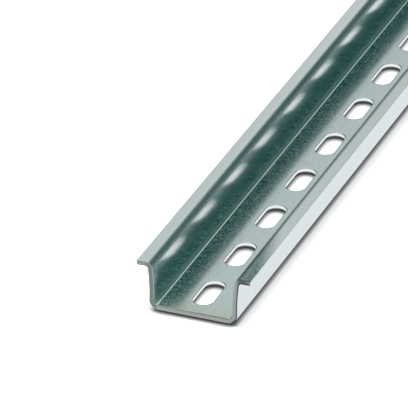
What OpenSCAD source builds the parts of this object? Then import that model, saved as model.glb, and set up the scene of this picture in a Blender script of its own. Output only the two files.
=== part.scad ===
// Perforated top-hat mounting rail: one strip of steel, roll-formed to a channel
// with two outward flanges, with a row of slots punched along its base.
// The rail lies on its base with its flanges up. X is across it, Y along it, +Z up.
// Origin: underside of the base, midway along the rail and midway across it.

/* [Section] */
// Width over the tips of the two flanges
rail_width = 35; // [28:0.5:60]
// Height from the underside of the base to the top of the flanges
rail_height = 15; // [7.5:0.5:30]
// How far each flange stands out past the outer face of its web
flange_overhang = 4; // [2:0.25:6]
// Thickness of the strip
strip_thickness = 1.5; // [0.8:0.1:2.4]
// Radius on the inside of each bend
bend_radius = 0.8; // [0.2:0.1:1.4]
// Radius on the slit edges of the strip, which are the flange tips
tip_radius = 0.35; // [0.05:0.05:0.7]

/* [Length] */
// Length that the rail is sold in
rail_length = 1000; // [100:25:2000]
// Least length of solid base between each end of the rail and the row of slots
end_land = 5; // [2:0.5:40]

/* [Slots] */
// Length of each slot, from round end to round end
slot_length = 15; // [8:0.5:20]
// Width of each slot
slot_width = 6.2; // [3:0.1:7.5]
// Distance from the middle of one slot to the middle of the next
slot_pitch = 25; // [20.5:0.5:60]

/* [Hidden] */

ARC_STEPS = 48;
// How far each punch runs past the two faces of the base
PUNCH_MARGIN = 1;

// Webs: distance of their faces from the middle of the rail
web_outer_x = rail_width / 2 - flange_overhang;
web_inner_x = web_outer_x - strip_thickness;

// Bends: outer radius, and the centres of the lower and the upper bend
bend_outer = bend_radius + strip_thickness;
lower_bend = [web_outer_x - bend_outer, bend_outer];
upper_bend = [web_inner_x + bend_outer, rail_height - bend_outer];

// Flange: its tip, its lower face, and the rounding at its two slit corners
tip_x = rail_width / 2;
flange_low_z = rail_height - strip_thickness;
tip_round = min(tip_radius, strip_thickness / 2);

// Slots: as many as fit at the stated pitch, in a row that is centred on the rail
slot_room = rail_length - 2 * end_land - slot_length;
slot_count = floor(slot_room / slot_pitch) + 1;
first_slot_y = -slot_pitch * (slot_count - 1) / 2;

// Rectangle between two opposite corners
module box2d(low, high) {
    translate(low) square(high - low);
}

// Quarter of a bend: the part of its ring towards the side in x and z that the signs name
module bend(centre, side_x, side_z) {
    translate(centre) intersection() {
        difference() {
            circle(r = bend_outer, $fn = ARC_STEPS);
            circle(r = bend_radius, $fn = ARC_STEPS);
        }
        translate([min(side_x, 0), min(side_z, 0)] * bend_outer) square(bend_outer);
    }
}

// Flange from its bend to its tip, with the two corners of the slit edge rounded
module flange() {
    box2d([upper_bend.x, flange_low_z], [tip_x - tip_round, rail_height]);
    box2d([upper_bend.x, flange_low_z + tip_round], [tip_x, rail_height - tip_round]);
    for (z = [flange_low_z + tip_round, rail_height - tip_round])
        translate([tip_x - tip_round, z]) circle(r = tip_round, $fn = ARC_STEPS);
}

// Half of the section, from the middle of the base to the tip of one flange
module half_section() {
    box2d([0, 0], [lower_bend.x, strip_thickness]);
    bend(lower_bend, 1, -1);
    box2d([web_inner_x, lower_bend.y], [web_outer_x, upper_bend.y]);
    bend(upper_bend, -1, 1);
    flange();
}

module section() {
    half_section();
    mirror([1, 0]) half_section();
}

// Punch for one slot with two round ends, standing on the middle of the slot
module slot_punch() {
    straight = slot_length - slot_width;
    depth = strip_thickness + 2 * PUNCH_MARGIN;
    translate([0, 0, -PUNCH_MARGIN]) {
        translate([-slot_width / 2, -straight / 2, 0]) cube([slot_width, straight, depth]);
        for (end = [-1, 1])
            translate([0, end * straight / 2, 0]) cylinder(d = slot_width, h = depth, $fn = ARC_STEPS);
    }
}

module rail() {
    color([0.72, 0.78, 0.77]) difference() {
        rotate([90, 0, 0]) linear_extrude(height = rail_length, center = true) section();
        for (i = [0 : slot_count - 1])
            translate([0, first_slot_y + i * slot_pitch, 0]) slot_punch();
    }
}

rail();
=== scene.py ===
"""Slotted top-hat mounting rail, with its finish, its floor, its light and its camera.

One strip of zinc-plated steel, rolled to a channel with two outward flanges and punched with a row of slots.
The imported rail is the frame: every size of this model follows its box or the strip sizes named in Section.
"""

import logging
import math
from dataclasses import dataclass
from enum import Enum
from typing import Callable

import bpy
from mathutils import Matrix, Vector


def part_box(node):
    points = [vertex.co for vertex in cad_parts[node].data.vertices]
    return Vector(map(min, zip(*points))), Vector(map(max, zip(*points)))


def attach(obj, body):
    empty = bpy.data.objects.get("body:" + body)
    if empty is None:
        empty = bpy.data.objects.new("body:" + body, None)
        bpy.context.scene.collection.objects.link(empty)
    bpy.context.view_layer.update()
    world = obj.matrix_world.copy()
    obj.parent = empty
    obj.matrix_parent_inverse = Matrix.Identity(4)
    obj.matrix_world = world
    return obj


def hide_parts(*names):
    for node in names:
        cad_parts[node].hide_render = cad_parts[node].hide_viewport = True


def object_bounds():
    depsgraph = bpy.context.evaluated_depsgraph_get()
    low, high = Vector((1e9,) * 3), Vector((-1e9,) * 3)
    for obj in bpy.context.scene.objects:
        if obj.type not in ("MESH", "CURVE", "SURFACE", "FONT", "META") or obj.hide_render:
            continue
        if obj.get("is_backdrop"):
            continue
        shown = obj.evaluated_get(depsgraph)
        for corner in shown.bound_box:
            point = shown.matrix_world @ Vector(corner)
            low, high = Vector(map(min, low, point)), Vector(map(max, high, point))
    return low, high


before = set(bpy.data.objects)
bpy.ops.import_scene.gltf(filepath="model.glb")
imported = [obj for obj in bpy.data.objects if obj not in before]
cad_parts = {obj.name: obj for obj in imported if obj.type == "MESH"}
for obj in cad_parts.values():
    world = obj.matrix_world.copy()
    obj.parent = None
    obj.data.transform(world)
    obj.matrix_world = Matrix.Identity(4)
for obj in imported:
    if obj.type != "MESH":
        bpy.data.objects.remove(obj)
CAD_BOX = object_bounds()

LOG = logging.getLogger("rail")

MM = 0.001
RAIL_NODE = "rail"
BODY = "root"
DEPTH_NAME = "strip_depth"

Colour = tuple[float, float, float]
Point2 = tuple[float, float]
Point3 = tuple[float, float, float]
Span = tuple[float, float]
Socket = bpy.types.NodeSocket


class Face(Enum):
    """Which finish a face of the strip takes, as its place in the list of materials."""

    PLATED = 0
    SHEARED = 1


# --------------------------------------------------------------------------------------------------
# Shape
# --------------------------------------------------------------------------------------------------


@dataclass(frozen=True)
class CutProfile:
    """How a cut face of the strip stands through the thickness, from its punched side to its burr side.

    Each row is a depth below the punched side and a distance that the metal is drawn back there, in metres.
    """

    rolled_over: float
    smooth_to: float
    broken_back: float
    thickness: float

    def rows(self) -> list[Point2]:
        """Lists the rows, from the punched side down.

        Returns:
            Pairs of depth and setback. The first is on the punched side and the last on the burr side.
        """
        roll, smooth, back, deep = self.rolled_over, self.smooth_to, self.broken_back, self.thickness
        return [
            (0.0, roll),
            (0.13 * roll, 0.5 * roll),
            (0.5 * roll, 0.13 * roll),
            (roll, 0.0),
            (smooth, 0.0),
            (smooth + 0.6 * back, 0.6 * back),
            (0.5 * (smooth + deep), 0.85 * back),
            (deep - 0.12 * MM, back),
            (deep - 0.04 * MM, 0.8 * back),
            (deep, back),
        ]


@dataclass(frozen=True)
class Section:
    """Cross-section of the rolled strip, as stations from one slit edge to the other.

    A station is a pair of points, one on the channel side of the strip and one on its outer side.
    """

    width: float
    height: float
    thickness: float = 1.5 * MM
    bend_radius: float = 0.8 * MM
    fold_radius: float = 1.2 * MM
    flange_overhang: float = 4.0 * MM
    tip_radius: float = 0.10 * MM
    flare_from: float = 4.6 * MM
    flare_angle: float = 7.4
    base_steps: int = 12
    lower_steps: int = 12
    flare_steps: int = 8
    upper_steps: int = 15
    flange_steps: int = 2

    @property
    def bend_outer(self) -> float:
        """Radius on the outside of an upper bend."""
        return self.bend_radius + self.thickness

    @property
    def fold_outer(self) -> float:
        """Radius on the outside of a lower bend, which is a little softer."""
        return self.fold_radius + self.thickness

    @property
    def web_outer(self) -> float:
        """Distance from the middle of the rail to the outer face of a web."""
        return self.width / 2 - self.flange_overhang

    @property
    def base_half(self) -> float:
        """Half of the flat base, up to where its bends begin."""
        return self.web_outer - self.fold_outer

    @property
    def edge_rows(self) -> int:
        """Number of steps round a slit edge, from the channel side to the outer side."""
        return len(self.tip_offsets()) - 1

    def tip_offsets(self) -> list[Point2]:
        """Points round the slit edge of a flange.

        Returns:
            How far each point stands out past the flat of the flange, and how far below its top it is.
        """
        radius = self.tip_radius
        quarter = [math.radians(22.5 * step) for step in range(5)]
        top = [(radius * math.sin(a), radius * (1 - math.cos(a))) for a in quarter]
        low = [(out, self.thickness - deep) for out, deep in reversed(top)]
        return top + low

    def half_stations(self) -> list[tuple[Point2, Point2]]:
        """Stations from the edge of the flat base to the flat of the right flange, as x and z pairs.

        Returns:
            Pairs of the point on the channel side and the point on the outer side.
        """
        low_x, low_z = self.base_half, self.fold_outer
        inner = self.web_outer - self.thickness
        flare = math.radians(self.flare_angle)
        high_z = self.height - self.bend_outer
        flare_rise = high_z + self.bend_outer * math.sin(flare) - self.flare_from
        high_x = inner + 0.5 * math.tan(flare) * flare_rise + self.bend_outer * math.cos(flare)
        stations = []
        for step in range(self.lower_steps + 1):
            angle = math.radians(-90 + 90 * step / self.lower_steps)
            across, up = math.cos(angle), math.sin(angle)
            stations.append((
                (low_x + self.fold_radius * across, low_z + self.fold_radius * up),
                (low_x + self.fold_outer * across, low_z + self.fold_outer * up),
            ))
        for step in range(self.flare_steps):
            share = step / self.flare_steps
            lean = flare * share
            across = inner + 0.5 * math.tan(flare) * flare_rise * share**2
            up = self.flare_from + flare_rise * share
            outward = (self.thickness * math.cos(lean), -self.thickness * math.sin(lean))
            stations.append(((across, up), (across + outward[0], up + outward[1])))
        for step in range(self.upper_steps + 1):
            angle = math.pi - flare - (math.pi / 2 - flare) * step / self.upper_steps
            across, up = math.cos(angle), math.sin(angle)
            stations.append((
                (high_x + self.bend_outer * across, high_z + self.bend_outer * up),
                (high_x + self.bend_radius * across, high_z + self.bend_radius * up),
            ))
        flat = self.width / 2 - self.tip_radius - high_x
        for step in range(1, self.flange_steps + 1):
            across = high_x + flat * step / self.flange_steps
            stations.append(((across, self.height), (across, self.height - self.thickness)))
        return stations

    def stations(self) -> list[tuple[Point2, Point2]]:
        """Stations of the whole strip, from the left slit edge to the right one.

        Returns:
            Pairs of the point on the channel side and the point on the outer side.
        """
        right = self.half_stations()
        left = [((-top[0], top[1]), (-low[0], low[1])) for top, low in reversed(right)]
        base = []
        for step in range(1, self.base_steps):
            across = self.base_half * (2 * step / self.base_steps - 1)
            base.append(((across, self.thickness), (across, 0.0)))
        return left + base + right


@dataclass(frozen=True)
class SlotRow:
    """Row of slots with round ends along the middle of the base."""

    rail_length: float
    length: float = 15.0 * MM
    width: float = 6.2 * MM
    pitch: float = 25.0 * MM
    side_steps: int = 8
    end_steps: int = 12
    side_turn: float = 40.0

    @property
    def count(self) -> int:
        """Number of slots, each in its own stretch of one pitch."""
        return round(self.rail_length / self.pitch)

    def outline(self, grown: float) -> list[Point2]:
        """Outline of one slot about its own middle, counter-clockwise from its lower right.

        Args:
            grown: Distance by which the outline is set outwards all round.

        Returns:
            As many points as the edge of the stretch of base round the slot has.
        """
        radius = self.width / 2 + grown
        reach = (self.length - self.width) / 2
        arc_steps = (self.side_steps - 2) // 2
        turn = [self.side_turn * step / arc_steps for step in range(arc_steps + 1)]
        side = [(-a, -reach) for a in reversed(turn)] + [(0.0, 0.0)] + [(a, reach) for a in turn]
        cap_turn = 180 - 2 * self.side_turn
        cap = [
            (self.side_turn + cap_turn * step / self.end_steps, reach)
            for step in range(1, self.end_steps)
        ]
        half = [
            (radius * math.cos(math.radians(angle)), shift + radius * math.sin(math.radians(angle)))
            for angle, shift in side + cap
        ]
        return half + [(-x, -y) for x, y in half]


class Shell:
    """Closed mesh that is collected vertex by vertex under names, so that shared edges are shared."""

    SHARP_ANGLE = 38.0

    def __init__(self) -> None:
        """Starts with no vertices and no faces."""
        self.places: list[Point3] = []
        self.depths: list[float] = []
        self.numbers: dict[tuple, int] = {}
        self.faces: list[tuple[int, ...]] = []
        self.finishes: list[int] = []

    def vertex(self, name: tuple, place: Callable[[], Point3], depth: float) -> int:
        """Finds a vertex by name, or makes it.

        Args:
            name: What the vertex is called, the same for each face that meets there.
            place: Gives its place if it is new.
            depth: How far through the strip it lies, 0 on the channel side and 1 on the outer side.

        Returns:
            The number of the vertex.
        """
        if name not in self.numbers:
            self.numbers[name] = len(self.places)
            self.places.append(place())
            self.depths.append(depth)
        return self.numbers[name]

    def quad(self, corners: list[int], finish: Face) -> None:
        """Adds one face.

        Args:
            corners: Its vertices, counter-clockwise as seen from outside.
            finish: The finish that it takes.
        """
        self.faces.append(tuple(corners))
        self.finishes.append(finish.value)

    def mesh(self, name: str) -> bpy.types.Mesh:
        """Makes the mesh, with the depth through the strip kept for its finishes.

        Args:
            name: Name of the mesh.

        Returns:
            The mesh, smooth but for its sharp edges.
        """
        mesh = bpy.data.meshes.new(name)
        mesh.from_pydata(self.places, [], self.faces)
        mesh.polygons.foreach_set("material_index", self.finishes)
        depth = mesh.attributes.new(DEPTH_NAME, "FLOAT", "POINT")
        depth.data.foreach_set("value", self.depths)
        mesh.shade_smooth()
        mesh.set_sharp_from_angle(angle=math.radians(self.SHARP_ANGLE))
        mesh.validate()
        mesh.update()
        return mesh


class Rail:
    """The rail itself: the rolled section, run along Y, with its slots and its sheared ends."""

    NAME = "rolled_rail"
    SLOT_LAND = 0.55 * MM
    ROLLED_ROWS = 2

    def __init__(self, section: Section, slots: SlotRow) -> None:
        """Settles the stations across the strip and along it.

        Args:
            section: Cross-section of the strip.
            slots: Row of slots in its base.
        """
        self.section = section
        self.slots = slots
        self.stations = section.stations()
        self.base_from = (len(self.stations) - 1 - section.base_steps) // 2
        self.base_to = self.base_from + section.base_steps
        self.last_across = len(self.stations) - 1
        self.last_along = slots.count * slots.side_steps
        self.tip = section.tip_offsets()
        self.end_cut = CutProfile(
            rolled_over=0.16 * MM, smooth_to=0.62 * MM, broken_back=0.10 * MM, thickness=section.thickness
        ).rows()
        self.slot_cut = CutProfile(
            rolled_over=0.26 * MM, smooth_to=0.70 * MM, broken_back=0.06 * MM, thickness=section.thickness
        ).rows()
        self.rows = section.edge_rows
        self.shell = Shell()

    def along(self, step: int) -> float:
        """Place of a station along the rail."""
        return self.slots.rail_length * (step / self.last_along - 0.5)

    def place(self, across: int, along: int, row: int) -> Point3:
        """Place of a point on the outside of the strip.

        Args:
            across: Station across the strip, 0 at the left slit edge.
            along: Station along the rail, 0 at the near end.
            row: Row through the strip, 0 on the channel side.

        Returns:
            The point, in metres.
        """
        (top_x, top_z), (low_x, low_z) = self.stations[across]
        at_end = along in (0, self.last_along)
        depth, setback = self.end_cut[row] if at_end else (0.0, 0.0)
        share = depth / self.section.thickness if at_end else row / self.rows
        x = top_x + (low_x - top_x) * share
        z = top_z + (low_z - top_z) * share
        if across in (0, self.last_across):
            out, below = self.tip[row]
            x = top_x + (out if across else -out)
            z = top_z - below
        y = self.along(along)
        if at_end:
            y += -setback if along else setback
        return (x, y, z)

    def point(self, across: int, along: int, row: int) -> int:
        """Vertex at a place on the outside of the strip.

        Args:
            across: Station across the strip.
            along: Station along the rail.
            row: Row through the strip.

        Returns:
            Its number.
        """
        name = (across, along, row)
        depth = row / self.rows
        if along in (0, self.last_along):
            depth = self.end_cut[row][0] / self.section.thickness
        return self.shell.vertex(name, lambda: self.place(across, along, row), depth)

    def sheet_faces(self) -> None:
        """Adds the two rolled sides of the strip, leaving out the flat base."""
        for across in range(self.last_across):
            if self.base_from <= across < self.base_to:
                continue
            for along in range(self.last_along):
                for row, order in ((0, 1), (self.rows, -1)):
                    corners = [
                        self.point(across, along, row),
                        self.point(across + 1, along, row),
                        self.point(across + 1, along + 1, row),
                        self.point(across, along + 1, row),
                    ]
                    self.shell.quad(corners[::order], Face.PLATED)

    def slit_faces(self) -> None:
        """Adds the two slit edges, which are the tips of the flanges."""
        for along in range(self.last_along):
            for row in range(self.rows):
                for across, order in ((0, 1), (self.last_across, -1)):
                    corners = [
                        self.point(across, along, row),
                        self.point(across, along + 1, row),
                        self.point(across, along + 1, row + 1),
                        self.point(across, along, row + 1),
                    ]
                    self.shell.quad(corners[::order], Face.PLATED)

    def end_faces(self) -> None:
        """Adds the two sheared ends."""
        for across in range(self.last_across):
            for row in range(self.rows):
                for along, order in ((0, 1), (self.last_along, -1)):
                    corners = [
                        self.point(across, along, row),
                        self.point(across, along, row + 1),
                        self.point(across + 1, along, row + 1),
                        self.point(across + 1, along, row),
                    ]
                    finish = Face.PLATED if row < self.ROLLED_ROWS else Face.SHEARED
                    self.shell.quad(corners[::order], finish)

    def stretch_edge(self, number: int, row: int) -> list[int]:
        """Vertices round the stretch of base that holds one slot.

        Args:
            number: Number of the slot, from the near end.
            row: Row through the strip.

        Returns:
            Vertices, counter-clockwise from the near right corner.
        """
        near = number * self.slots.side_steps
        far = near + self.slots.side_steps
        right = [(self.base_to, along) for along in range(near, far)]
        back = [(across, far) for across in range(self.base_to, self.base_from, -1)]
        left = [(self.base_from, along) for along in range(far, near, -1)]
        front = [(across, near) for across in range(self.base_from, self.base_to)]
        return [self.point(across, along, row) for across, along in right + back + left + front]

    def slot_ring(self, number: int, ring: str, grown: float, z: float) -> list[int]:
        """Vertices of one outline of a slot.

        Args:
            number: Number of the slot, from the near end.
            ring: Name of the outline.
            grown: Distance that it stands outside the slot's own outline.
            z: Its height.

        Returns:
            Vertices, in the order of SlotRow.outline.
        """
        middle = self.slots.pitch * (number + 0.5) - self.slots.rail_length / 2
        depth = 1 - z / self.section.thickness
        vertices = []
        for step, (x, y) in enumerate(self.slots.outline(grown)):
            vertices.append(self.shell.vertex(
                ("slot", number, ring, step), lambda: (x, middle + y, z), depth
            ))
        return vertices

    def bridge(self, outer: list[int], inner: list[int], finish: Face) -> None:
        """Joins two outlines of as many points with a band of faces.

        Args:
            outer: The outline that the band starts at.
            inner: The one that it ends at, inside the first as seen from the front of the band.
            finish: The finish of the band.
        """
        for step in range(len(outer)):
            after = (step + 1) % len(outer)
            self.shell.quad([outer[step], outer[after], inner[after], inner[step]], finish)

    def base_faces(self) -> None:
        """Adds the flat base, with each slot's rolled-over rim, smooth band, break and burr side."""
        thickness = self.section.thickness
        for number in range(self.slots.count):
            rings = [self.stretch_edge(number, 0)]
            rings.append(self.slot_ring(number, "top_land", self.SLOT_LAND, thickness))
            for row, (depth, setback) in enumerate(self.slot_cut):
                rings.append(self.slot_ring(number, f"cut_{row}", setback, thickness - depth))
            rings.append(self.slot_ring(number, "low_land", self.SLOT_LAND, 0.0))
            rings.append(self.stretch_edge(number, self.rows))
            for outer, inner in zip(rings, rings[1:]):
                self.bridge(outer, inner, Face.PLATED)

    def build(self) -> bpy.types.Object:
        """Builds the rail as one closed mesh.

        Returns:
            The rail, not yet dressed.
        """
        self.sheet_faces()
        self.slit_faces()
        self.end_faces()
        self.base_faces()
        piece = bpy.data.objects.new(self.NAME, self.shell.mesh(self.NAME))
        bpy.context.scene.collection.objects.link(piece)
        weighted = piece.modifiers.new("even_shading", "WEIGHTED_NORMAL")
        weighted.keep_sharp = True
        weighted.weight = 100
        return piece


# --------------------------------------------------------------------------------------------------
# Finishes
# --------------------------------------------------------------------------------------------------


class Graph:
    """A node tree, with one short method for each kind of node that the finishes and the sky use."""

    def __init__(self, owner: bpy.types.ID, output: str = "ShaderNodeOutputMaterial") -> None:
        """Starts a tree with only its output.

        Args:
            owner: The material or the world that the tree belongs to.
            output: Type of its output node, as Blender names it.
        """
        owner.use_nodes = True
        self.owner = owner
        self.tree = owner.node_tree
        self.tree.nodes.clear()
        self.output = self.tree.nodes.new(output)

    @classmethod
    def for_material(cls, name: str) -> "Graph":
        """Starts the tree of a new material."""
        return cls(bpy.data.materials.new(name))

    def node(self, kind: str, **settings: object) -> bpy.types.Node:
        """Adds a node.

        Args:
            kind: Its type, as Blender names it.
            settings: Values for its own properties.

        Returns:
            The node.
        """
        made = self.tree.nodes.new(kind)
        for name, value in settings.items():
            setattr(made, name, value)
        return made

    def feed(self, socket: Socket, value: object) -> None:
        """Sets an input to a value, or links it to an output.

        Args:
            socket: The input.
            value: A number, a tuple or an output socket.
        """
        if isinstance(value, bpy.types.NodeSocket):
            self.tree.links.new(value, socket)
        else:
            socket.default_value = value

    def place(self) -> tuple[Socket, Socket, Socket, Socket]:
        """Gives the point on the piece in metres.

        Returns:
            The point as a vector, and its x, y and z.
        """
        point = self.node("ShaderNodeTexCoord").outputs["Object"]
        parts = self.node("ShaderNodeSeparateXYZ")
        self.feed(parts.inputs[0], point)
        return point, parts.outputs[0], parts.outputs[1], parts.outputs[2]

    def scaled(self, vector: Socket, scale: Point3) -> Socket:
        """Stretches a vector by a factor on each axis.

        Args:
            vector: The vector.
            scale: Factors on X, Y and Z.

        Returns:
            The stretched vector.
        """
        made = self.node("ShaderNodeVectorMath", operation="MULTIPLY")
        self.feed(made.inputs[0], vector)
        self.feed(made.inputs[1], scale)
        return made.outputs[0]

    def noise(self, vector: Socket, scale: float, detail: float = 2.0, rough: float = 0.5) -> Socket:
        """Adds cloudy noise.

        Args:
            vector: Where it is read.
            scale: Number of its features in a metre.
            detail: Number of finer layers.
            rough: Strength of the finer layers.

        Returns:
            Its value, about 0.5.
        """
        made = self.node("ShaderNodeTexNoise")
        self.feed(made.inputs["Vector"], vector)
        self.feed(made.inputs["Scale"], scale)
        self.feed(made.inputs["Detail"], detail)
        self.feed(made.inputs["Roughness"], rough)
        return made.outputs["Fac"]

    def math(self, operation: str, first: object, second: object = 0.0) -> Socket:
        """Adds one sum on numbers.

        Args:
            operation: Its kind, as Blender names it.
            first: First number, or an output.
            second: Second number, or an output.

        Returns:
            The result.
        """
        made = self.node("ShaderNodeMath", operation=operation)
        self.feed(made.inputs[0], first)
        self.feed(made.inputs[1], second)
        return made.outputs[0]

    def both(self, first: object, second: object) -> Socket:
        """Multiplies two numbers, which for two shares is where both hold."""
        return self.math("MULTIPLY", first, second)

    def ramp(self, value: Socket, span: Span, ends: Span = (0.0, 1.0), origin: float = 0.0) -> Socket:
        """Maps a number smoothly from one span to another.

        Args:
            value: The number.
            span: Where the change starts and where it ends, counted from the origin.
            ends: Results up to its start and from its end on.
            origin: What the span is counted from.

        Returns:
            The mapped number.
        """
        made = self.node("ShaderNodeMapRange", interpolation_type="SMOOTHSTEP")
        for socket, given in zip(made.inputs, (value, origin + span[0], origin + span[1], *ends)):
            self.feed(socket, given)
        return made.outputs[0]

    def fade(self, value: Socket, span: Span, origin: float = 0.0) -> Socket:
        """Falls smoothly from 1 to 0 over a span that is counted from the origin."""
        return self.ramp(value, span, (1.0, 0.0), origin)

    def blend(self, share: Socket, first: object, second: object) -> Socket:
        """Mixes two colours.

        Args:
            share: How much of the second there is.
            first: First colour, as red, green and blue or as an output.
            second: Second colour.

        Returns:
            The mixed colour.
        """
        made = self.node("ShaderNodeMix", data_type="RGBA")
        self.feed(made.inputs["Factor"], share)
        for socket, colour in ((made.inputs[6], first), (made.inputs[7], second)):
            self.feed(socket, (*colour, 1.0) if isinstance(colour, tuple) else colour)
        return made.outputs[2]

    def bump(self, height: Socket, depth: float) -> Socket:
        """Turns a height into a relief.

        Args:
            height: Height as a number from 0 to 1.
            depth: What 1 stands for, in metres.

        Returns:
            The surface normal.
        """
        made = self.node("ShaderNodeBump")
        self.feed(made.inputs["Strength"], 1.0)
        self.feed(made.inputs["Distance"], depth)
        self.feed(made.inputs["Height"], height)
        return made.outputs[0]

    def surface(self, **inputs: object) -> bpy.types.Material:
        """Ends the tree in one shader.

        Args:
            inputs: Values or outputs for the shader's sockets, with _ for the spaces in their names.

        Returns:
            The material.
        """
        shader = self.node("ShaderNodeBsdfPrincipled")
        for name, value in inputs.items():
            given = (*value, 1.0) if isinstance(value, tuple) and len(value) == 3 else value
            self.feed(shader.inputs[name.replace("_", " ")], given)
        self.feed(self.output.inputs[0], shader.outputs[0])
        return self.owner


@dataclass(frozen=True)
class ZincPlaces:
    """Where a point of the rail lies. The fields from near_base on are shares from 0, outside, to 1."""

    point: Socket
    x: Socket
    y: Socket
    z: Socket
    side: Socket
    depth: Socket
    to_end: Socket
    near_base: Socket
    on_base: Socket
    in_channel: Socket
    on_top: Socket
    low_bend: Socket
    wear_and_sheen: Socket


@dataclass(frozen=True)
class PlatedFinish:
    """Bright zinc with a clear blue-green passivation, mottled on the base and darker at the near end of one
    flange, with painted shade, painted highlight and painted sheen in its colour.

    A span is where a change starts and where it ends, counted from the edge that its comment names.
    """

    section: Section
    near_end: float

    # Films, as the colours that the zinc mirrors in; the right, upper-web, near-end and end films also hold
    # painted shade, painted highlight and painted sheen
    clear_film: Colour = (0.685, 0.745, 0.755)
    flange_film: Colour = (0.655, 0.75, 0.73)
    thin_film: Colour = (0.79, 0.845, 0.835)
    right_shade_film: Colour = (0.625, 0.72, 0.70)
    deep_film: Colour = (0.57, 0.75, 0.725)
    base_film: Colour = (0.565, 0.685, 0.675)
    wall_film: Colour = (0.86, 0.885, 0.885)
    upper_highlight_film: Colour = (0.79, 0.85, 0.85)
    end_sheen_film: Colour = (0.80, 0.88, 0.86)
    fold_film: Colour = (0.67, 0.75, 0.63)
    near_sheen_film: Colour = (0.74, 0.95, 0.91)

    # Tarnish, a dark patch, painted shade at the slot rims and above the folds, and painted contact shade
    # along the underside that also stands for the burr
    tarnish: Colour = (0.595, 0.68, 0.58)
    rim_shade: Colour = (0.13, 0.19, 0.19)
    fold_shade: Colour = (0.29, 0.50, 0.48)
    dark_patch: Colour = (0.03, 0.11, 0.10)
    dark_patch_fleck: Colour = (0.27, 0.38, 0.355)
    burr_and_contact_shade: Colour = (0.09, 0.11, 0.11)
    tarnish_share: float = 0.85
    fold_shade_share: float = 0.75
    cloud_share: float = 0.10

    # Gloss and grain
    web_roughness: float = 0.17
    base_roughness: float = 0.12
    speck_roughness: float = 0.15
    streak_gloss: Span = (-0.015, 0.02)
    bend_dulling: float = 0.13
    end_wear: float = 0.09
    crazing: float = 0.7
    far_calm: float = 0.7
    speck_pitch: float = 0.42 * MM
    grain_depth: float = 0.005 * MM
    grain_cut: Span = (0.47, 0.62)
    fleck_cut: Span = (0.42, 0.61)
    cloud_cut: Span = (0.3, 0.7)
    streak_scale: float = 700.0
    streak_stretch: Point3 = (1.0, 0.04, 1.0)
    cloud_scale: float = 45.0

    # Spans across the rail, from the edge of the flat base
    base_side: Span = (-0.3 * MM, 0.6 * MM)
    crazed_side: Span = (-2.4 * MM, -0.2 * MM)
    fold_line: Span = (-0.35 * MM, 0.1 * MM)

    # Spans across the rail, from the channel side of a web
    channel_side: Span = (0.5 * MM, 1.4 * MM)
    flange_side: Span = (0.9 * MM, 1.6 * MM)
    high_bend_from: Span = (0.1 * MM, 0.7 * MM)
    high_bend_to: Span = (1.7 * MM, 2.7 * MM)

    # Spans upwards, from the channel side of the base
    base_top: Span = (0.0, 0.5 * MM)
    channel_floor: Span = (-0.1 * MM, 0.2 * MM)
    low_bend_from: Span = (0.08 * MM, 0.22 * MM)
    low_bend_to: Span = (1.2 * MM, 2.2 * MM)

    # Spans upwards, from the top of the flanges, and as shares of the height
    flange_top: Span = (-0.7 * MM, -0.1 * MM)
    high_bend_top: Span = (-3.0 * MM, -1.8 * MM)
    upper_web: Span = (0.50, 0.80)

    # Spans upwards, from the underside, for the painted contact shade along it
    underside_shade_edge: Span = (0.14 * MM, 0.46 * MM)
    underside_shade_foot: Span = (0.0, 0.02 * MM)
    underside_shade_shares: Span = (0.96, 0.0)
    foot_shares: Span = (0.5, 1.0)

    # Spans through the strip, from the channel side, as shares of its thickness
    wall_from: Span = (0.10, 0.16)
    wall_to: Span = (0.97, 0.995)
    rim_from: Span = (0.004, 0.03)
    rim_to: Span = (0.13, 0.18)
    rim_side: Span = (0.6 * MM, 2.4 * MM)

    # Lengths along the rail, from its near end, and spans from either end
    thinning_length: float = 320.0 * MM
    calm_from: float = 0.3
    near_length: float = 85.0 * MM
    dark_patch_from: float = 71.0 * MM
    dark_patch_length: float = 24.0 * MM
    dark_patch_slant: float = 4.0
    tarnish_reach: float = 8.0 * MM
    tarnish_span: Span = (0.4, 1.4)
    tarnish_waver: float = 0.6
    wear_and_sheen_end: Span = (-5.0 * MM, -0.5 * MM)
    scuffed_end: Span = (-10.0 * MM, 0.0)

    @property
    def fold(self) -> float:
        """Distance from the middle of the rail to the edge of its flat base."""
        return self.section.base_half

    @property
    def web_inner(self) -> float:
        """Distance from the middle of the rail to the channel side of a web."""
        return self.section.web_outer - self.section.thickness

    def places(self, graph: Graph) -> ZincPlaces:
        """Works out where a point lies on the rail.

        Args:
            graph: Tree of the finish.

        Returns:
            Its place, and its shares in the parts of the rail.
        """
        thick, height = self.section.thickness, self.section.height
        point, x, y, z = graph.place()
        side = graph.math("ABSOLUTE", x)
        to_end = graph.math("ABSOLUTE", y)
        near_base = graph.fade(side, self.base_side, self.fold)
        in_channel = graph.both(
            graph.fade(side, self.channel_side, self.web_inner),
            graph.ramp(z, self.channel_floor, origin=thick),
        )
        low_bend = graph.both(
            graph.ramp(z, self.low_bend_from, origin=thick),
            graph.fade(z, self.low_bend_to, thick),
        )
        return ZincPlaces(
            point=point,
            x=x,
            y=y,
            z=z,
            side=side,
            depth=graph.node("ShaderNodeAttribute", attribute_name=DEPTH_NAME).outputs["Fac"],
            to_end=to_end,
            near_base=near_base,
            on_base=graph.both(near_base, graph.fade(z, self.base_top, thick)),
            in_channel=in_channel,
            on_top=graph.both(
                graph.ramp(side, self.flange_side, origin=self.web_inner),
                graph.ramp(z, self.flange_top, origin=height),
            ),
            low_bend=graph.both(low_bend, in_channel),
            wear_and_sheen=graph.both(graph.ramp(to_end, self.wear_and_sheen_end, origin=-self.near_end), in_channel),
        )

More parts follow.
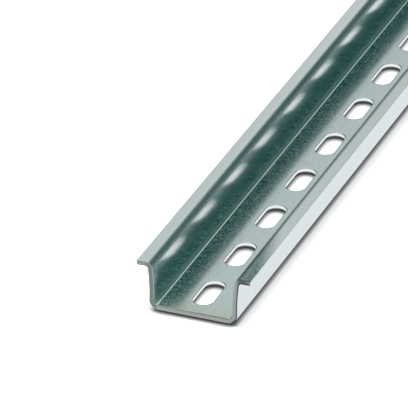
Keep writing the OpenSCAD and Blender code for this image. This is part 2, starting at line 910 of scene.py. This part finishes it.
    def web_colour(self, graph: Graph, at: ZincPlaces) -> Socket:
        """Colours the webs: deeper low down, paler high up as a painted highlight, with a painted sheen
        towards the near end, and with wear and a painted sheen at the ends.

        Args:
            graph: Tree of the finish.
            at: Where the point lies.

        Returns:
            The colour.
        """
        height = self.section.height
        to_middle = graph.ramp(at.y, (0.0, self.near_length), origin=self.near_end)
        # Painted sheen: the webs are paler and greener towards the near end.
        film = graph.blend(to_middle, self.near_sheen_film, self.deep_film)
        upper = (self.upper_web[0] * height, self.upper_web[1] * height)
        # Painted highlight: the upper part of the webs is paler, where the slots are mirrored.
        film = graph.blend(graph.ramp(at.z, upper), film, self.upper_highlight_film)
        # Painted sheen, with wear: the channel faces are paler within a few millimetres of each end.
        return graph.blend(at.wear_and_sheen, film, self.end_sheen_film)

    def base_colour(self, graph: Graph, at: ZincPlaces, cloud: Socket) -> Socket:
        """Colours the base, which has tarnished at its near end.

        Args:
            graph: Tree of the finish.
            at: Where the point lies.
            cloud: Noise that the edge of the tarnish follows.

        Returns:
            The colour.
        """
        wavering = graph.math("ADD", at.y, graph.both(cloud, self.tarnish_waver * self.tarnish_reach))
        span = (self.tarnish_span[0] * self.tarnish_reach, self.tarnish_span[1] * self.tarnish_reach)
        aged = graph.ramp(wavering, span, (self.tarnish_share, 0.0), self.near_end)
        return graph.blend(aged, self.base_film, self.tarnish)

    def flange_colour(self, graph: Graph, at: ZincPlaces) -> Socket:
        """Colours the flanges, whose film thins out along the rail, with painted shade that makes the right
        flange darker.

        Args:
            graph: Tree of the finish.
            at: Where the point lies.

        Returns:
            The colour.
        """
        thinned = graph.ramp(at.y, (0.0, self.thinning_length), origin=self.near_end)
        film = graph.blend(thinned, self.flange_film, self.thin_film)
        # Painted shade: the right flange takes a darker film than the left.
        return graph.blend(graph.ramp(at.x, (-self.web_inner, self.web_inner)), film, self.right_shade_film)

    def dark_patch_share(self, graph: Graph, at: ZincPlaces) -> Socket:
        """Finds the darker, mottled patch on the near end of the right flange.

        Args:
            graph: Tree of the finish.
            at: Where the point lies.

        Returns:
            Its share.
        """
        creep = graph.math("ADD", at.y, graph.both(at.side, self.dark_patch_slant))
        on_right = graph.both(at.on_top, graph.ramp(at.x, (0.0, self.web_inner)))
        span = (self.dark_patch_from, self.dark_patch_from + self.dark_patch_length)
        return graph.both(on_right, graph.fade(creep, span, self.near_end))

    def slot_colour(self, graph: Graph, at: ZincPlaces, colour: Socket) -> Socket:
        """Colours the walls of the slots and shades their rims.

        Args:
            graph: Tree of the finish.
            at: Where the point lies.
            colour: Colour of the rest.

        Returns:
            The colour with the slots' own on it.
        """
        in_wall = graph.both(at.near_base, graph.ramp(at.depth, self.wall_from))
        in_wall = graph.both(in_wall, graph.fade(at.depth, self.wall_to))
        colour = graph.blend(in_wall, colour, self.wall_film)
        # Painted shade: a dark line on the rolled-over rims of the slots, on their right side only, stands in
        # for a dark reflection.
        in_rim = graph.both(at.near_base, graph.ramp(at.depth, self.rim_from))
        in_rim = graph.both(in_rim, graph.fade(at.depth, self.rim_to))
        in_rim = graph.both(in_rim, graph.ramp(at.x, self.rim_side))
        return graph.blend(in_rim, colour, self.rim_shade)

    def colour(self, graph: Graph, at: ZincPlaces, speck: Socket) -> Socket:
        """Colours the rail.

        Args:
            graph: Tree of the finish.
            at: Where the point lies.
            speck: Noise of the zinc's grain.

        Returns:
            The colour.
        """
        cloud = graph.noise(at.point, self.cloud_scale, 2.0)
        colour = graph.blend(at.in_channel, self.clear_film, self.web_colour(graph, at))
        colour = graph.blend(at.on_base, colour, self.base_colour(graph, at, cloud))
        # Painted shade: the channel faces just above the lower folds are darkened.
        colour = graph.blend(graph.both(at.low_bend, self.fold_shade_share), colour, self.fold_shade)
        in_fold = graph.both(at.on_base, graph.ramp(at.side, self.fold_line, origin=self.fold))
        colour = graph.blend(in_fold, colour, self.fold_film)
        colour = graph.blend(at.on_top, colour, self.flange_colour(graph, at))
        mottled = graph.blend(graph.ramp(speck, self.fleck_cut), self.dark_patch, self.dark_patch_fleck)
        colour = graph.blend(self.dark_patch_share(graph, at), colour, mottled)
        clouded = graph.ramp(cloud, self.cloud_cut, (0.0, self.cloud_share))
        colour = graph.blend(clouded, colour, self.deep_film)
        colour = self.slot_colour(graph, at, colour)
        # Painted contact shade: the colour darkens along the underside edges, which stands in for the shadow
        # there and also for the burr under the punched slots.
        edge = graph.both(
            graph.ramp(at.z, self.underside_shade_edge, self.underside_shade_shares),
            graph.ramp(at.z, self.underside_shade_foot, self.foot_shares),
        )
        return graph.blend(edge, colour, self.burr_and_contact_shade)

    def roughness(self, graph: Graph, at: ZincPlaces, speck: Socket) -> Socket:
        """Works out how dull the rail is: smooth webs, a specked base, and dull bends and ends.

        Args:
            graph: Tree of the finish.
            at: Where the point lies.
            speck: Noise of the zinc's grain.

        Returns:
            The roughness.
        """
        streak = graph.noise(graph.scaled(at.point, self.streak_stretch), self.streak_scale, 2.0)
        gloss = (self.web_roughness + self.streak_gloss[0], self.web_roughness + self.streak_gloss[1])
        rough = graph.math(
            "ADD",
            graph.both(at.on_base, self.base_roughness - self.web_roughness),
            graph.ramp(streak, self.cloud_cut, gloss),
        )
        specked = graph.both(at.on_base, graph.ramp(speck, self.grain_cut))
        crazed = graph.ramp(at.side, self.crazed_side, (1.0, 1.0 + self.crazing), self.fold)
        specked = graph.both(specked, crazed)
        calm = (self.calm_from * self.thinning_length, self.thinning_length)
        specked = graph.both(specked, graph.ramp(at.y, calm, (1.0, self.far_calm), self.near_end))
        high_bend = graph.both(
            graph.ramp(at.side, self.high_bend_from, origin=self.web_inner),
            graph.fade(at.side, self.high_bend_to, self.web_inner),
        )
        high_bend = graph.both(high_bend, graph.ramp(at.z, self.high_bend_top, origin=self.section.height))
        bend = graph.math("MAXIMUM", at.low_bend, high_bend)
        scuffed = graph.both(
            at.on_base, graph.ramp(at.to_end, self.scuffed_end, origin=-self.near_end)
        )
        for share, dulling in (
            (specked, self.speck_roughness),
            (bend, self.bend_dulling),
            (at.wear_and_sheen, self.end_wear),
            (scuffed, self.end_wear),
        ):
            rough = graph.math("ADD", rough, graph.both(share, dulling))
        return rough

    def material(self) -> bpy.types.Material:
        """Makes the finish.

        Returns:
            The material of the rolled faces.
        """
        graph = Graph.for_material("bright_zinc")
        at = self.places(graph)
        speck = graph.noise(at.point, 1 / self.speck_pitch, 2.0, 0.55)
        return graph.surface(
            Base_Color=self.colour(graph, at, speck),
            Metallic=1.0,
            Roughness=self.roughness(graph, at, speck),
            Normal=graph.bump(graph.both(speck, at.on_base), self.grain_depth),
        )


@dataclass(frozen=True)
class ShearedFinish:
    """Cut faces, with a dark burr line on the side where the blade came out, which went left to right."""

    section: Section
    clean: Colour = (0.37, 0.425, 0.40)
    base_low: Colour = (0.47, 0.49, 0.485)
    left_web: Colour = (0.225, 0.29, 0.265)
    left_flange: Colour = (0.33, 0.38, 0.365)
    right_flange: Colour = (0.085, 0.115, 0.11)
    torn: Colour = (0.20, 0.25, 0.24)
    pitted: Colour = (0.19, 0.235, 0.22)
    burr: Colour = (0.19, 0.23, 0.215)
    right_burr: Colour = (0.03, 0.045, 0.045)
    pitted_share: float = 0.45
    burr_share: float = 0.95
    pit_cut: Span = (0.35, 0.75)
    pit_scale: float = 2600.0
    pit_depth: float = 0.02 * MM
    smooth_roughness: float = 0.30
    broken_roughness: float = 0.45

    # Spans across the rail, from the outer face of the web on that side
    left_flange_side: Span = (-1.6 * MM, -0.4 * MM)
    right_flange_side: Span = (-0.4 * MM, 0.8 * MM)

    # Spans through the strip, from the channel side, as shares of its thickness
    lower_half: Span = (0.35, 0.75)
    tear_from: Span = (0.32, 0.42)
    tear_to: Span = (0.48, 0.60)
    broken_from: Span = (0.42, 0.52)
    burr_line: Span = (0.72, 0.86)

    def colour(self, graph: Graph, speck: Socket, x: Socket, depth: Socket) -> Socket:
        """Colours the cut.

        Args:
            graph: Tree of the finish.
            speck: Noise of the broken metal's grain.
            x: Place across the rail.
            depth: Share of the strip's thickness.

        Returns:
            The colour.
        """
        edge, web = self.section.base_half, self.section.web_outer
        inner = web - self.section.thickness
        right = graph.ramp(x, (edge, inner))
        colour = graph.blend(graph.ramp(depth, self.lower_half), self.clean, self.base_low)
        colour = graph.blend(graph.fade(x, (-inner, -edge)), colour, self.left_web)
        colour = graph.blend(right, colour, self.clean)
        pits = graph.ramp(speck, self.pit_cut, (0.0, self.pitted_share))
        colour = graph.blend(pits, colour, self.pitted)
        colour = graph.blend(graph.fade(x, self.left_flange_side, -web), colour, self.left_flange)
        tear = graph.both(graph.ramp(depth, self.tear_from), graph.fade(depth, self.tear_to))
        far_right = graph.ramp(x, self.right_flange_side, origin=web)
        colour = graph.blend(far_right, colour, graph.blend(tear, self.right_flange, self.torn))
        out = graph.math("SUBTRACT", graph.math("SUBTRACT", 1.0, right), depth)
        burr = graph.ramp(graph.math("ABSOLUTE", out), self.burr_line, (0.0, self.burr_share))
        return graph.blend(burr, colour, graph.blend(right, self.burr, self.right_burr))

    def material(self) -> bpy.types.Material:
        """Makes the finish.

        Returns:
            The material of the sheared faces.
        """
        graph = Graph.for_material("sheared_edge")
        point, x, _, _ = graph.place()
        depth = graph.node("ShaderNodeAttribute", attribute_name=DEPTH_NAME).outputs["Fac"]
        speck = graph.noise(point, self.pit_scale, 3.0, 0.6)
        broken = graph.ramp(depth, self.broken_from)
        return graph.surface(
            Base_Color=self.colour(graph, speck, x, depth),
            Metallic=1.0,
            Roughness=graph.ramp(broken, (0.0, 1.0), (self.smooth_roughness, self.broken_roughness)),
            Normal=graph.bump(graph.both(speck, broken), self.pit_depth),
        )


# --------------------------------------------------------------------------------------------------
# Studio
# --------------------------------------------------------------------------------------------------


@dataclass(frozen=True)
class Floor:
    """Plain pale floor that the rail lies on."""

    size: float = 90.0
    clearance: float = 0.60 * MM
    paint: Colour = (0.76, 0.755, 0.76)
    painted_contact_shadow: Colour = (0.05, 0.047, 0.05)
    contact_reach: float = 1.7 * MM
    slot_reach: float = 7.0 * MM
    slot_side: Span = (7.0 * MM, 13.0 * MM)
    contact_depth: float = 2.0
    gap_glow: float = 0.035
    contact_lean: Point3 = (-0.40, 0.40, 0.0)
    mirror_reach: float = 1.0 * MM
    mirror_shade: Span = (0.05, 1.0)
    mirror_open: Span = (0.05, 0.55)

    def contact(self, graph: Graph) -> Socket:
        """Finds how open the floor is, so that a painted shadow darkens it close to the rail.

        Args:
            graph: Tree of the paint.

        Returns:
            A share, 0 in the darkest gap and 1 in the open.
        """
        upright = graph.node("ShaderNodeNewGeometry").outputs["Normal"]
        leaning = graph.node("ShaderNodeVectorMath", operation="ADD")
        graph.feed(leaning.inputs[0], upright)
        graph.feed(leaning.inputs[1], self.contact_lean)
        facing = graph.node("ShaderNodeVectorMath", operation="NORMALIZE")
        graph.feed(facing.inputs[0], leaning.outputs[0])
        _, x, _, _ = graph.place()
        aside = graph.math("ABSOLUTE", x)
        near = graph.node("ShaderNodeAmbientOcclusion", samples=12)
        reach = graph.ramp(aside, self.slot_side, (self.slot_reach, self.contact_reach))
        graph.feed(near.inputs["Distance"], reach)
        graph.feed(near.inputs["Normal"], facing.outputs[0])
        return graph.math("POWER", near.outputs["AO"], self.contact_depth)

    def material(self) -> bpy.types.Material:
        """Makes the paint, which looks white to the eye and in the metal, keeps the shadow, and darkens near
        the rail as a painted shadow.

        Returns:
            The material of the floor.
        """
        graph = Graph.for_material("pale_floor")
        paint = graph.node("ShaderNodeBsdfDiffuse")
        # Painted shadow: the floor's colour darkens towards the rail by ambient occlusion.
        shade = graph.blend(self.contact(graph), self.painted_contact_shadow, self.paint)
        graph.feed(paint.inputs["Color"], shade)
        # Painted shadow in the mirrored floor: the white that the metal sees dims close to the rail.
        beneath = graph.node("ShaderNodeAmbientOcclusion", samples=8)
        graph.feed(beneath.inputs["Distance"], self.mirror_reach)
        white = graph.node("ShaderNodeEmission")
        level = graph.ramp(beneath.outputs["AO"], self.mirror_open, self.mirror_shade)
        graph.feed(white.inputs["Strength"], level)
        path = graph.node("ShaderNodeLightPath").outputs
        mirrored = graph.math("MAXIMUM", path["Is Glossy Ray"], path["Is Transmission Ray"])
        glow = graph.node("ShaderNodeEmission")
        graph.feed(glow.inputs["Strength"], self.gap_glow)
        lifted = graph.node("ShaderNodeAddShader")
        graph.feed(lifted.inputs[0], paint.outputs[0])
        graph.feed(lifted.inputs[1], glow.outputs[0])
        seen = graph.node("ShaderNodeMixShader")
        for socket, given in zip(seen.inputs, (mirrored, lifted.outputs[0], white.outputs[0])):
            graph.feed(socket, given)
        graph.feed(graph.output.inputs[0], seen.outputs[0])
        return graph.owner

    def build(self, height: float) -> bpy.types.Object:
        """Lays the floor.

        Args:
            height: Height of the rail's underside, which is never quite flat and so stands a hair above it.

        Returns:
            The floor.
        """
        half = self.size / 2
        level = height - self.clearance
        mesh = bpy.data.meshes.new("floor")
        corners = [(-half, -half, level), (half, -half, level), (half, half, level), (-half, half, level)]
        mesh.from_pydata(corners, [], [(0, 1, 2, 3)])
        mesh.materials.append(self.material())
        floor = bpy.data.objects.new("floor", mesh)
        bpy.context.scene.collection.objects.link(floor)
        floor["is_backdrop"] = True
        return floor


@dataclass(frozen=True)
class FloorWash:
    """Soft lamp above and a little behind that lights only the floor, so that the shadow stays close."""

    strength: float = 7.6
    spread: float = 58.0
    from_back: float = 21.0
    hung_at: float = 2.0

    def build(self, floor: bpy.types.Object) -> bpy.types.Object:
        """Hangs the lamp.

        Args:
            floor: What it lights.

        Returns:
            The lamp.
        """
        data = bpy.data.lights.new("floor_wash", "SUN")
        data.energy = self.strength
        data.angle = math.radians(self.spread)
        lamp = bpy.data.objects.new("floor_wash", data)
        lamp.location = (0.0, 0.0, self.hung_at)
        lamp.rotation_euler = (-math.radians(self.from_back), 0.0, 0.0)
        bpy.context.scene.collection.objects.link(lamp)
        lit = bpy.data.collections.new("lit_by_floor_wash")
        lit.objects.link(floor)
        lamp.light_linking.receiver_collection = lit
        return lamp


@dataclass(frozen=True)
class Sky:
    """Soft light from all round, bright overhead and dim low down, with a dark corner behind on the right."""

    low: float = 0.15
    high: float = 0.76
    low_elevation: float = 8.0
    high_elevation: float = 30.0
    dark: Colour = (0.006, 0.080, 0.075)
    dark_azimuth: float = 27.0
    dark_elevation: float = 20.5
    dark_inner: float = 12.5
    dark_outer: float = 26.5
    backdrop: Colour = (1.0, 1.0, 1.0)

    def build(self) -> bpy.types.World:
        """Makes the world.

        Returns:
            The world, set as the scene's own.
        """
        world = bpy.data.worlds.new("soft_sky")
        graph = Graph(world, "ShaderNodeOutputWorld")
        towards = graph.node("ShaderNodeTexCoord").outputs["Generated"]
        parts = graph.node("ShaderNodeSeparateXYZ")
        graph.feed(parts.inputs[0], towards)
        rise = (math.sin(math.radians(self.low_elevation)), math.sin(math.radians(self.high_elevation)))
        level = graph.ramp(parts.outputs[2], rise, (self.low, self.high))
        azimuth, elevation = math.radians(self.dark_azimuth), math.radians(self.dark_elevation)
        corner = (
            math.sin(azimuth) * math.cos(elevation),
            math.cos(azimuth) * math.cos(elevation),
            math.sin(elevation),
        )
        facing = graph.node("ShaderNodeVectorMath", operation="DOT_PRODUCT")
        graph.feed(facing.inputs[0], towards)
        graph.feed(facing.inputs[1], corner)
        rim = (math.cos(math.radians(self.dark_outer)), math.cos(math.radians(self.dark_inner)))
        lit = graph.blend(graph.ramp(facing.outputs["Value"], rim), level, self.dark)
        to_camera = graph.node("ShaderNodeLightPath").outputs["Is Camera Ray"]
        background = graph.node("ShaderNodeBackground")
        graph.feed(background.inputs[0], graph.blend(to_camera, lit, self.backdrop))
        graph.feed(graph.output.inputs[0], background.outputs[0])
        bpy.context.scene.world = world
        return world


@dataclass(frozen=True)
class Viewpoint:
    """Camera with a long lens, looking down on the near end of the rail from its right."""

    azimuth: float = 21.5
    elevation: float = 28.14
    distance: float = 1.690
    lens: float = 519.8
    sensor: float = 36.0
    aim_right: float = 3.14 * MM
    aim_above: float = 32.3 * MM
    sees_from: float = 0.05
    sees_to: float = 200.0

    def build(self, near_end: Vector) -> bpy.types.Object:
        """Sets the camera up.

        Args:
            near_end: Middle of the underside at the near end, which the aim is measured from.

        Returns:
            The camera, set as the scene's own.
        """
        azimuth, elevation = math.radians(self.azimuth), math.radians(self.elevation)
        back = Vector((
            math.sin(azimuth) * math.cos(elevation),
            -math.cos(azimuth) * math.cos(elevation),
            math.sin(elevation),
        ))
        right = Vector((math.cos(azimuth), math.sin(azimuth), 0.0))
        above = back.cross(right)
        data = bpy.data.cameras.new("camera")
        data.lens = self.lens
        data.sensor_width = self.sensor
        data.clip_start = self.sees_from
        data.clip_end = self.sees_to
        camera = bpy.data.objects.new("camera", data)
        aim = near_end + right * self.aim_right + above * self.aim_above
        camera.location = aim + back * self.distance
        camera.rotation_mode = "QUATERNION"
        camera.rotation_quaternion = back.to_track_quat("Z", "Y")
        bpy.context.scene.collection.objects.link(camera)
        bpy.context.scene.camera = camera
        return camera


def main() -> None:
    """Builds the rail and its studio in order, and reports the rail and the floor."""
    logging.basicConfig(level=logging.INFO, format="%(message)s")
    low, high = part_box(RAIL_NODE)
    size = high - low
    section = Section(width=size.x, height=size.z)
    slots = SlotRow(rail_length=size.y)
    rail = Rail(section, slots)
    piece = rail.build()
    plated = PlatedFinish(section, low.y)
    piece.data.materials.append(plated.material())
    piece.data.materials.append(ShearedFinish(section).material())
    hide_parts(RAIL_NODE)
    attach(piece, BODY)
    LOG.info("rail: %d slots, %d faces", slots.count, len(piece.data.polygons))

    floor = Floor().build(low.z)
    LOG.info("floor: %.2f mm below the rail", (low.z - floor.data.vertices[0].co.z) / MM)
    FloorWash().build(floor)
    Sky().build()
    Viewpoint().build(Vector(((low.x + high.x) / 2, low.y, low.z)))
    bpy.context.scene.view_settings.view_transform = "Standard"


def write_sizes() -> None:
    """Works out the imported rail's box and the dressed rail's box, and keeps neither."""
    boxes = {"cad": CAD_BOX, "visual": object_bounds()}
    {name: [list(corner) for corner in box] for name, box in boxes.items()}


if __name__ == "__main__":
    main()
    write_sizes()
